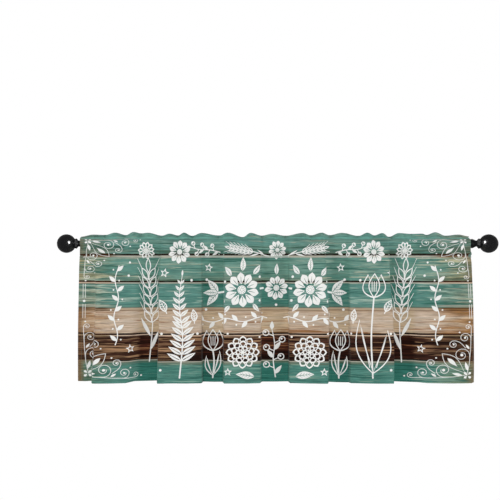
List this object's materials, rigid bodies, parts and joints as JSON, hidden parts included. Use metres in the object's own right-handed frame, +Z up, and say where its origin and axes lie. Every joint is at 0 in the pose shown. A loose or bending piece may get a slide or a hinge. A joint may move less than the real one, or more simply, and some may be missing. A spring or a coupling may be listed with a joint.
{
  "type": "window valance with curtain rod",
  "caption": "Short rod-pocket window valance with a ruffled heading, gathered on a plain round curtain rod with ball finials.",
  "frame": {"origin": "on the rod's axis at the middle of its length", "axes": "+X along the rod, to the right for someone in the room who faces the window; +Y from the room to the window; +Z up"},
  "size_m": [1.3474, 0.057, 0.4598],
  "materials": {
    "printed_cloth": "matte printed plain weave",
    "black_metal": "glossy black enamel"
  },
  "bodies": {
    "root": {"valance": "printed_cloth", "rod": "black_metal", "finial_left": "black_metal", "finial_right": "black_metal"}
  },
  "joints": []
}
